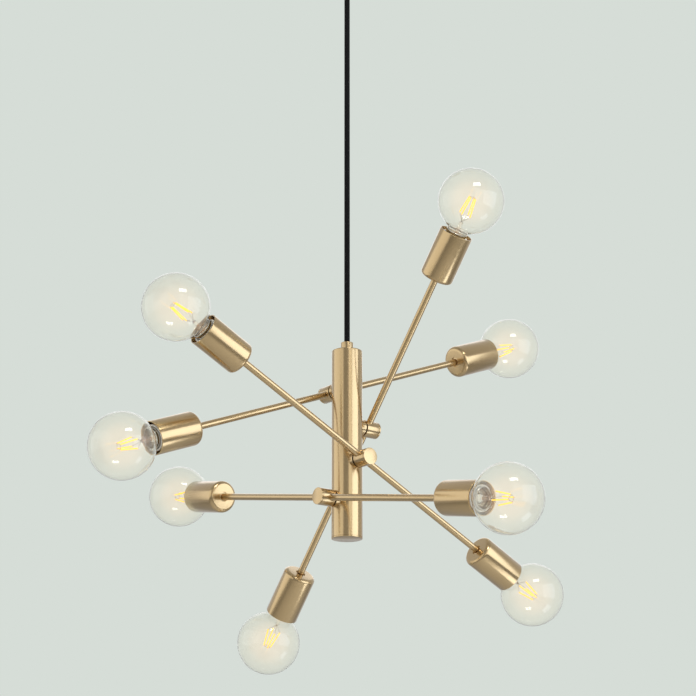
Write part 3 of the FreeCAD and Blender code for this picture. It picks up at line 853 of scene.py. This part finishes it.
# Both ends of an arm are alike: the tree puts one copy of a piece at each end, half a turn
# apart, and then tips and turns the pair with its arm. The side is 1 at one end, -1 at the
# other.
both_ends = bpy.data.node_groups.new("both_ends_of_an_arm", "GeometryNodeTree")
both_ends.is_modifier = True
both_ends.interface.new_socket(name="Geometry", in_out="INPUT", socket_type="NodeSocketGeometry")
ends_inputs = {
    "piece": group_input(both_ends, "Piece", "NodeSocketObject"),
    "out": group_input(both_ends, "Distance Out", "NodeSocketFloat", 0.2),
    "line": group_input(both_ends, "Rod Line", "NodeSocketFloat", rod_line * MM),
    "tilt": group_input(both_ends, "Tilt", "NodeSocketFloat", 0.0),
    "azimuth": group_input(both_ends, "Azimuth", "NodeSocketFloat", 0.0),
    "height": group_input(both_ends, "Knuckle Height", "NodeSocketFloat", 0.0),
    "finish": group_input(both_ends, "Finish", "NodeSocketMaterial"),
}
both_ends.interface.new_socket(name="Geometry", in_out="OUTPUT", socket_type="NodeSocketGeometry")
given = add_node(both_ends, "NodeGroupInput")
master = add_node(both_ends, "GeometryNodeObjectInfo", Object=given.outputs["Piece"])
index = add_node(both_ends, "GeometryNodeInputIndex")
side = add_node(
    both_ends,
    "ShaderNodeMath",
    {"operation": "MULTIPLY_ADD"},
    i0=index.outputs[0],
    i1=-2.0,
    i2=1.0,
)
out = add_node(
    both_ends,
    "ShaderNodeMath",
    {"operation": "MULTIPLY"},
    i0=side.outputs[0],
    i1=given.outputs["Distance Out"],
)
spot = add_node(
    both_ends, "ShaderNodeCombineXYZ", X=given.outputs["Rod Line"], Y=out.outputs[0]
)
pair = add_node(both_ends, "GeometryNodePoints", Count=2, Position=spot.outputs[0])
quarter = add_node(
    both_ends,
    "ShaderNodeMath",
    {"operation": "MULTIPLY"},
    i0=side.outputs[0],
    i1=-math.pi / 2,
)
facing = add_node(both_ends, "ShaderNodeCombineXYZ", X=quarter.outputs[0])
placed = add_node(
    both_ends,
    "GeometryNodeInstanceOnPoints",
    Points=pair.outputs[0],
    Instance=master.outputs["Geometry"],
    Rotation=facing.outputs[0],
)
tip = add_node(both_ends, "ShaderNodeCombineXYZ", X=given.outputs["Tilt"])
tipped = add_node(
    both_ends, "GeometryNodeTransform", Geometry=placed.outputs[0], Rotation=tip.outputs[0]
)
swing = add_node(both_ends, "ShaderNodeCombineXYZ", Z=given.outputs["Azimuth"])
lift = add_node(both_ends, "ShaderNodeCombineXYZ", Z=given.outputs["Knuckle Height"])
hung = add_node(
    both_ends,
    "GeometryNodeTransform",
    Geometry=tipped.outputs[0],
    Translation=lift.outputs[0],
    Rotation=swing.outputs[0],
)
real = add_node(both_ends, "GeometryNodeRealizeInstances", Geometry=hung.outputs[0])
painted = add_node(
    both_ends,
    "GeometryNodeSetMaterial",
    Geometry=real.outputs[0],
    Material=given.outputs["Finish"],
)
add_node(both_ends, "NodeGroupOutput", Geometry=painted.outputs[0])


def grown(name, tree, settings):
    """The plain mesh that a node tree makes with these inputs. Its host doesn't stay."""
    host = bpy.data.objects.new(name + "_host", bpy.data.meshes.new(name + "_host"))
    bpy.context.scene.collection.objects.link(host)
    modifier = host.modifiers.new(name, "NODES")
    modifier.node_group = tree
    for identifier, value in settings.items():
        modifier[identifier] = value
    bpy.context.view_layer.update()
    evaluated = bpy.context.evaluated_depsgraph_get()
    mesh = bpy.data.meshes.new_from_object(host.evaluated_get(evaluated))
    mesh.name = name
    bpy.data.objects.remove(host)
    return mesh


def on_both_ends(name, mesh, finish, slot, *nodes):
    """One piece at both ends of every arm, in place of the arm's CAD nodes of these names."""
    pattern = bpy.data.objects.new(name + "_pattern", mesh)
    bpy.context.scene.collection.objects.link(pattern)
    for number, arm in ARMS.items():
        whole = "arm_%d_%s" % (number, name)
        replaced = ["arm_%d_%s" % (number, node) for node in nodes]
        settings = {
            ends_inputs["piece"]: pattern,
            ends_inputs["out"]: arm["cup_back"] * MM,
            ends_inputs["line"]: rod_line * MM,
            ends_inputs["tilt"]: math.radians(arm["tilt"]),
            ends_inputs["azimuth"]: math.radians(arm["azimuth"]),
            ends_inputs["height"]: arm["height"] * MM,
            ends_inputs["finish"]: finish,
        }
        both = grown(whole, both_ends, settings)
        piece(whole, both, finish, "arm_%d" % number, slot, *replaced)
    bpy.data.objects.remove(pattern)


cup_radius = 20.5
cup_wall = 1.2
cup_hole = 6.4
cup_round = 5.0
rim_edge = 0.35
cup_outline = [
    (cup_hole, 0),
    (cup_radius, 0),
    (cup_radius, cup_length),
    (cup_radius - cup_wall, cup_length),
    (cup_radius - cup_wall, cup_wall),
    (cup_hole, cup_wall),
]
cup_outline = rounded(cup_outline, cup_round - cup_wall, 4, 8)
cup_outline = rounded(cup_outline, rim_edge, 3, 3)
cup_outline = rounded(cup_outline, rim_edge, 2, 3)
cup_outline = rounded(cup_outline, cup_round, 1, 10)
on_both_ends("cups", lathe("cup", [cup_outline], 128), brass, "satin_brass", "lamp_cups")

# ---------------------------------------------------------------- cup bushings
# A turned brass ring inside the cup, over the hole in its back. The rod is screwed into it,
# and the lampholder stands on it.

bushing_bore = 4.3
bushing_lip = 1.0
bushing_lip_radius = 5.0
bushing_radius = 10.0
bushing_seat = cup_wall + 0.05
bushing_top = 4.2
bushing = [
    (bushing_bore, bushing_lip),
    (bushing_lip_radius, bushing_seat),
    (bushing_radius, bushing_seat),
    (bushing_radius, bushing_top),
    (bushing_bore, bushing_top),
]
on_both_ends("bushings", lathe("bushing", [bushing], 64), brass, "satin_brass", "cup_bushings")

# ---------------------------------------------------------------- lampholders
# Cream thermoset lampholders, pressed in moulds: a plain ring is seen just inside the cup's
# rim, round the metal shell that takes the bulb.

# Pressed urea resin: a warm white, glossy like glazed china, with hardly any clouding.
cream = material("cream_urea_moulded")
tree = cream.node_tree
_, tone = clouded(tree, 6.0, "#F8F4EA", "#FFFDF7")
plastic = add_node(
    tree, "ShaderNodeBsdfPrincipled", Base_Color=tone, Roughness=0.32, IOR=1.55
)
add_node(tree, "ShaderNodeOutputMaterial", Surface=plastic.outputs[0])

holder_bore = 4.75
holder_waist = 12.0
holder_radius = 16.0
socket_radius = 13.7
socket_floor = 37.0
waist_end = bushing_top + 12.0
holder_rim = cup_length - 2.5
socket_edge = 0.5
holder_edge = 0.8
holder = [
    (holder_bore, bushing_top),
    (holder_waist, bushing_top),
    (holder_waist, waist_end),
    (holder_radius, waist_end + holder_radius - holder_waist),
    (holder_radius, holder_rim),
    (socket_radius, holder_rim),
    (socket_radius, socket_floor),
    (holder_bore, socket_floor),
]
holder = rounded(rounded(holder, socket_edge, 5, 4), holder_edge, 4, 5)
on_both_ends("holders", lathe("holder", [holder], 96), cream, "cream_plastic", "lampholders")

# ---------------------------------------------------------------- bulb caps
# Rolled nickel-plated screw caps: a round thread of 3.6 mm pitch, and a smooth skirt that
# is crimped on to the glass.

# Nickel plate: bright and a little warm, so it mirrors the cup's brass and the lamps.
nickel = material("nickel_plated_cap")
tree = nickel.node_tree
_, tone = clouded(tree, 3.0, "#C4C1BA", "#E6E4DE")
metal = add_node(
    tree, "ShaderNodeBsdfPrincipled", Base_Color=tone, Metallic=1.0, Roughness=0.18
)
add_node(tree, "ShaderNodeOutputMaterial", Surface=metal.outputs[0])

# The globe's centre and the neck's hollow round fix how deep the cap sits in the cup.
globe_centre = cup_length + 43.0
globe_radius = 40.0
neck_radius = 12.2
fillet = 3.0
drop = math.sqrt((globe_radius + fillet) ** 2 - (neck_radius + fillet) ** 2)

cap_radius = 13.1
cap_bore = 12.25
contact_radius = 4.5
insulator_radius = 8.5
contact_height = 1.2
cap_top = globe_centre - drop - 0.8
cap_bottom = cap_top - 27.0
seat = cap_top - 8.0
thread_low = cap_bottom + 5.5
thread_high = cap_top - 6.0
thread_pitch = 3.6
thread_depth = 1.0
wall_start = thread_low - 0.8
wall_height = cap_top - 0.3 - wall_start
wall_steps = 40

bulb_cap = [
    (0, cap_bottom),
    (contact_radius, cap_bottom),
    (contact_radius, cap_bottom + contact_height),
    (insulator_radius, cap_bottom + contact_height),
]
for step in range(wall_steps + 1):
    bulb_cap.append((cap_radius, wall_start + wall_height * step / wall_steps))
bulb_cap += [(cap_radius - 0.3, cap_top), (cap_bore, cap_top), (cap_bore, seat), (0, seat)]
thread = (thread_low, thread_high, thread_pitch, thread_depth)
on_both_ends("caps", lathe("cap", [bulb_cap], 96, thread), nickel, "nickel_steel", "bulb_caps")
for number in ARMS:
    finished("arm_%d_screw_shells" % number, nickel)

# ---------------------------------------------------------------- glass globes
# Blown clear glass, 80 mm across and 0.9 mm thick, drawn in to the neck, with the pressed
# stem that carries the filaments.

# Clear soda glass: a thin clear shell, with small bright spots where it mirrors the lamps.
# Its middle carries a painted warm glow: the glass itself gives off a faint orange light,
# strongest where it faces the camera and fading out towards the rim, in place of the lit
# filaments' light in the glass. Shadow rays pass it, so that what is inside isn't left in the dark.
glass = material("blown_clear_glass")
tree = glass.node_tree
edge = add_node(tree, "ShaderNodeLayerWeight", Blend=0.5)
# Painted glow: a warm emission on the glass, full where it faces the camera and none at the rim.
painted_glow = add_node(
    tree,
    "ShaderNodeMapRange",
    {"interpolation_type": "SMOOTHSTEP"},
    Value=edge.outputs["Facing"],
    From_Min=0.0,
    From_Max=0.34,
    To_Min=0.045,
    To_Max=0.0,
)
clear = add_node(
    tree,
    "ShaderNodeBsdfPrincipled",
    Base_Color=linear("#FCFCF8"),
    Roughness=0.015,
    IOR=1.47,
    Transmission_Weight=0.96,
    Emission_Color=linear("#FFB25E"),
    Emission_Strength=painted_glow.outputs["Result"],
)
rays = add_node(tree, "ShaderNodeLightPath")
unshaded = add_node(tree, "ShaderNodeBsdfTransparent", Color=linear("#FFFFFF"))
lets_light_in = add_node(
    tree,
    "ShaderNodeMixShader",
    i0=rays.outputs["Is Shadow Ray"],
    i1=clear.outputs[0],
    i2=unshaded.outputs[0],
)
add_node(tree, "ShaderNodeOutputMaterial", Surface=lets_light_in.outputs[0])

wall = 0.9
neck_end = seat + 0.05
stem_top = neck_end + 21.0


def globe_arc(radius, start, end, steps):
    """Points on the globe's section, from one angle above its equator to another."""
    arc = []
    for step in range(steps + 1):
        angle = start + (end - start) * step / steps
        arc.append((radius * math.cos(angle), globe_centre + radius * math.sin(angle)))
    return arc


def neck_arc(radius, start, end, steps):
    """Points on the hollow round between globe and neck."""
    centre_across = neck_radius + fillet
    centre_up = globe_centre - drop
    arc = []
    for step in range(steps + 1):
        angle = start + (end - start) * step / steps
        arc.append((centre_across - radius * math.cos(angle), centre_up + radius * math.sin(angle)))
    return arc


meeting = math.atan2(drop, neck_radius + fillet)
down = globe_arc(globe_radius, math.pi / 2, -meeting, 64)
into_neck = neck_arc(fillet, meeting, 0, 8)
foot = [
    (neck_radius, neck_end),
    (0, neck_end),
    (0, neck_end + 0.8),
    (neck_radius - wall, neck_end + 1.5),
]
out_of_neck = neck_arc(fillet + wall, 0, meeting, 8)
up = globe_arc(globe_radius - wall, -meeting, math.pi / 2, 64)
shell = [(0, globe_centre + globe_radius)] + down[1:] + into_neck[1:] + foot
shell += out_of_neck + up[1:-1] + [(0, globe_centre + globe_radius - wall)]
# The pressed stem flares out at the neck and is drawn in to a thin rod.
stem = [
    (0, neck_end + 0.9),
    (6.0, neck_end + 1.6),
    (3.2, neck_end + 6.0),
    (2.5, neck_end + 9.0),
    (2.5, stem_top - 1.0),
    (1.6, stem_top),
    (0, stem_top),
]
on_both_ends("globes", lathe("globe", [shell, stem], 128), glass, "clear_glass", "bulb_glass")

# ---------------------------------------------------------------- filaments
# Four LED filament sticks in a cone, wide at the foot and drawn in at the tip, held by
# bright wire leads. Yellow phosphor covers them, and they are lit.

# Lit phosphor in silicone: an even deep yellow glow, with faint beads where the chips are.
phosphor = material("lit_phosphor_yellow")
tree = phosphor.node_tree
_, glow = clouded(tree, 1.0, "#F0A818", "#FFCC38", detail=1.0)
lit = add_node(
    tree,
    "ShaderNodeBsdfPrincipled",
    Base_Color=linear("#E8B02A"),
    Roughness=0.5,
    Emission_Color=glow,
    Emission_Strength=1.35,
)
add_node(tree, "ShaderNodeOutputMaterial", Surface=lit.outputs[0])

# A ring of copies: the tree turns one piece about the bulb's axis, in equal steps.
about_axis = bpy.data.node_groups.new("copies_about_the_axis", "GeometryNodeTree")
about_axis.is_modifier = True
about_axis.interface.new_socket(name="Geometry", in_out="INPUT", socket_type="NodeSocketGeometry")
axis_inputs = {
    "piece": group_input(about_axis, "Piece", "NodeSocketObject"),
    "count": group_input(about_axis, "Count", "NodeSocketInt", 4),
    "start": group_input(about_axis, "Start Angle", "NodeSocketFloat", 0.0),
    "finish": group_input(about_axis, "Finish", "NodeSocketMaterial"),
}
about_axis.interface.new_socket(name="Geometry", in_out="OUTPUT", socket_type="NodeSocketGeometry")
given = add_node(about_axis, "NodeGroupInput")
master = add_node(about_axis, "GeometryNodeObjectInfo", Object=given.outputs["Piece"])
centres = add_node(about_axis, "GeometryNodePoints", Count=given.outputs["Count"])
index = add_node(about_axis, "GeometryNodeInputIndex")
step = add_node(
    about_axis,
    "ShaderNodeMath",
    {"operation": "DIVIDE"},
    i0=2 * math.pi,
    i1=given.outputs["Count"],
)
turn = add_node(
    about_axis,
    "ShaderNodeMath",
    {"operation": "MULTIPLY_ADD"},
    i0=index.outputs[0],
    i1=step.outputs[0],
    i2=given.outputs["Start Angle"],
)
turned = add_node(about_axis, "ShaderNodeCombineXYZ", Z=turn.outputs[0])
copies = add_node(
    about_axis,
    "GeometryNodeInstanceOnPoints",
    Points=centres.outputs[0],
    Instance=master.outputs["Geometry"],
    Rotation=turned.outputs[0],
)
real = add_node(about_axis, "GeometryNodeRealizeInstances", Geometry=copies.outputs[0])
painted = add_node(
    about_axis,
    "GeometryNodeSetMaterial",
    Geometry=real.outputs[0],
    Material=given.outputs["Finish"],
)
add_node(about_axis, "NodeGroupOutput", Geometry=painted.outputs[0])


def bar(target, start, end, radius, sides):
    """A thin bar with drawn-in ends from one point to another, in millimetres."""
    start = Vector(start) * MM
    end = Vector(end) * MM
    span = end - start
    turned_to = span.to_track_quat("Z", "X").to_matrix()
    across = turned_to @ Vector((1, 0, 0))
    over = turned_to @ Vector((0, 1, 0))
    rings = []
    for share, width in ((0, 0.55), (0.02, 1), (0.98, 1), (1, 0.55)):
        ring = []
        for k in range(sides):
            angle = 2 * math.pi * k / sides
            offset = across * math.cos(angle) + over * math.sin(angle)
            ring.append(target.verts.new(start + span * share + offset * (radius * width * MM)))
        rings.append(ring)
    for low, high in zip(rings, rings[1:]):
        for k in range(sides):
            after = (k + 1) % sides
            target.faces.new((low[k], low[after], high[after], high[k])).smooth = True
    target.faces.new(list(reversed(rings[0])))
    target.faces.new(rings[-1])


# A bulb comes to rest where its thread stops it: here most of its four sticks are seen.
bulb_turn = math.radians(22.5)
sticks_per_bulb = 4


def ring_of_bars(name, bars, finish):
    """Bars of (start, end, radius, sides), repeated about the bulb's axis, as one mesh."""
    shaped = bmesh.new()
    for start, end, radius, sides in bars:
        bar(shaped, start, end, radius, sides)
    mesh = bpy.data.meshes.new(name)
    shaped.to_mesh(mesh)
    shaped.free()
    pattern = bpy.data.objects.new(name + "_pattern", mesh)
    bpy.context.scene.collection.objects.link(pattern)
    settings = {
        axis_inputs["piece"]: pattern,
        axis_inputs["count"]: sticks_per_bulb,
        axis_inputs["start"]: bulb_turn,
        axis_inputs["finish"]: finish,
    }
    whole = grown(name, about_axis, settings)
    bpy.data.objects.remove(pattern)
    return whole


foot_radius = 8.0
tip_radius = 4.5
tip_height = globe_centre + 4.8
stick_radius = 0.75
stick_foot = (foot_radius, 0, globe_centre - 18.3)
stick_tip = (tip_radius, 0, tip_height)
next_tip = (0, tip_radius, tip_height)
sticks = ring_of_bars("filament_sticks", [(stick_foot, stick_tip, stick_radius, 12)], phosphor)
on_both_ends("filament_sticks", sticks, phosphor, "led_filament", "bulb_filaments")

# Bright nickel wire, from a short post on the glass stem to each stick's foot, and from tip
# to tip.
lead_radius = 0.35
post_radius = 1.0
post_foot = (0, 0, stem_top - 0.1)
post_top = (0, 0, stem_top + 1.0)
hub = (0, 0, stem_top + 0.5)
leads = ring_of_bars(
    "filament_leads",
    [
        (hub, stick_foot, lead_radius, 8),
        (stick_tip, next_tip, lead_radius, 8),
        (post_foot, post_top, post_radius, 16),
    ],
    nickel,
)
on_both_ends("filament_leads", leads, nickel, "nickel_steel")
